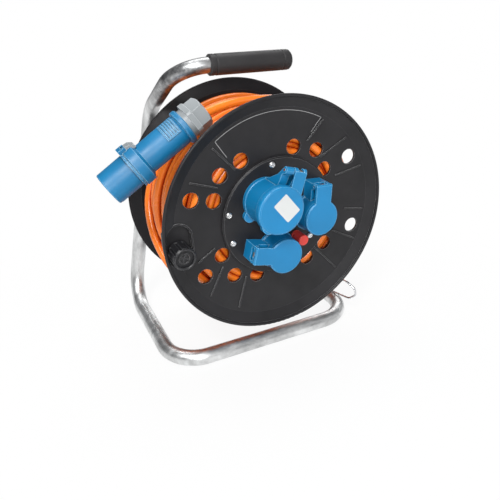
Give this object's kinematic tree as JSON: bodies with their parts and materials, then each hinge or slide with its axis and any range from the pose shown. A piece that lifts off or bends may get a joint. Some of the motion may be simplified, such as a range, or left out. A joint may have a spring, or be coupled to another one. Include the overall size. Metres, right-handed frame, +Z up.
{
  "type": "extension cord reel",
  "caption": "Cable reel with an orange cord on a plastic drum with power sockets, carried by one bent steel tube that is foot and handle.",
  "frame": {"origin": "middle of the footprint of the reel without its cord, on the floor", "axes": "+X to the right seen from the front and along the grip, +Y away from the front along the axle, +Z up"},
  "size_m": [0.3432, 0.2332, 0.3568],
  "materials": {
    "zinc_tube": "bright zinc plated, dull streaks",
    "zinc_wire": "bright zinc plated wire",
    "grip_plastic": "fine satin black",
    "axle_steel": "turned, zinc plated",
    "drum_plastic": "charcoal, lightly grained",
    "bush_plastic": "natural white, self lubricating",
    "screw_steel": "zinc plated",
    "blue_plastic": "semi gloss blue",
    "insert_plastic": "dark moulded insulation",
    "contact_brass": "bright",
    "clip_steel": "nickel plated spring steel",
    "hinge_steel": "bright pin",
    "spring_steel": "drawn wire",
    "seal_rubber": "soft black",
    "socket_plastic": "charcoal, satin",
    "cutout_plastic": "black",
    "button_plastic": "red, semi gloss",
    "knob_plastic": "black, satin",
    "cable_jacket": "orange, satin",
    "gland_plastic": "light grey"
  },
  "bodies": {
    "frame": {"frame_tube": "zinc_tube", "handle_grip": "grip_plastic", "handle_end_plug": "grip_plastic", "plug_hook": "zinc_wire", "axle": "axle_steel", "axle_nut": "axle_steel", "axle_washers": "axle_steel", "axle_circlip": "spring_steel"},
    "cee_lid_body": {"cee_lid": "blue_plastic", "cee_lid_gasket": "seal_rubber"},
    "right_lid_body": {"right_socket_lid": "blue_plastic", "right_socket_lid_gasket": "seal_rubber"},
    "lower_lid_body": {"lower_socket_lid": "blue_plastic", "lower_socket_lid_gasket": "seal_rubber"},
    "button": {"reset_button": "button_plastic"},
    "knob": {"crank_knob": "knob_plastic", "crank_cap": "knob_plastic"},
    "drum": {"front_flange": "drum_plastic", "back_flange": "drum_plastic", "drum_barrel": "drum_plastic", "socket_plate": "drum_plastic", "front_bush": "bush_plastic", "rear_bush": "bush_plastic", "flange_screws": "screw_steel", "plate_screws": "screw_steel", "cee_housing": "blue_plastic", "cee_insert": "insert_plastic", "cee_contacts": "contact_brass", "cee_screws": "screw_steel", "cee_hinge_pin": "hinge_steel", "cee_lid_spring": "spring_steel", "cutout_body": "cutout_plastic", "cutout_nut": "button_plastic", "button_spring": "spring_steel", "crank_pin": "axle_steel", "cord_clamp": "socket_plastic", "cee_insert_base": "insert_plastic", "cable_core": "cable_jacket", "cable_winding": "cable_jacket", "cable_tail": "cable_jacket", "plug_gland": "gland_plastic", "plug_seal": "seal_rubber", "plug_ring": "blue_plastic", "plug_handle": "blue_plastic", "plug_shroud": "blue_plastic", "plug_ledge": "gland_plastic", "plug_insert": "insert_plastic", "plug_pins": "contact_brass", "right_socket_housing": "blue_plastic", "right_socket_insert": "socket_plastic", "right_socket_contacts": "contact_brass", "right_socket_earth_clips": "clip_steel", "right_socket_hinge_pin": "hinge_steel", "right_socket_lid_spring": "spring_steel", "lower_socket_housing": "blue_plastic", "lower_socket_insert": "socket_plastic", "lower_socket_contacts": "contact_brass", "lower_socket_earth_clips": "clip_steel", "lower_socket_hinge_pin": "hinge_steel", "lower_socket_lid_spring": "spring_steel"}
  },
  "joints": [
    {"name": "drum_spin", "type": "hinge", "parent": "frame", "child": "drum", "pos_m": [0.0023, -0.00257, 0.1735], "axis": [0, -1, 0], "range_deg": [-180, 60]},
    {"name": "crank_knob_spin", "type": "hinge", "parent": "drum", "child": "knob", "pos_m": [-0.12243, -0.07557, 0.1524], "axis": [0, -1, 0], "continuous": true},
    {"name": "cee_lid_hinge", "type": "hinge", "parent": "drum", "child": "cee_lid_body", "pos_m": [-0.00635, -0.11107, 0.24197], "axis": [-0.9613, 0, 0.2756], "range_deg": [0, 110], "stiffness_Nm_per_rad": 0.03, "springref_deg": -34.38},
    {"name": "right_lid_hinge", "type": "hinge", "parent": "drum", "child": "right_lid_body", "pos_m": [0.046, -0.09357, 0.21045], "axis": [-0.9986, 0, 0.0523], "range_deg": [0, 95], "stiffness_Nm_per_rad": 0.02, "springref_deg": -34.38},
    {"name": "lower_lid_hinge", "type": "hinge", "parent": "drum", "child": "lower_lid_body", "pos_m": [-0.04115, -0.09357, 0.14216], "axis": [-0.2215, 0, -0.9751], "range_deg": [0, 95], "stiffness_Nm_per_rad": 0.02, "springref_deg": -34.38},
    {"name": "reset_press", "type": "slide", "parent": "drum", "child": "button", "axis": [0, 1, 0], "range_m": [0, 0.002], "stiffness_N_per_m": 600, "springref_m": -0.001}
  ]
}
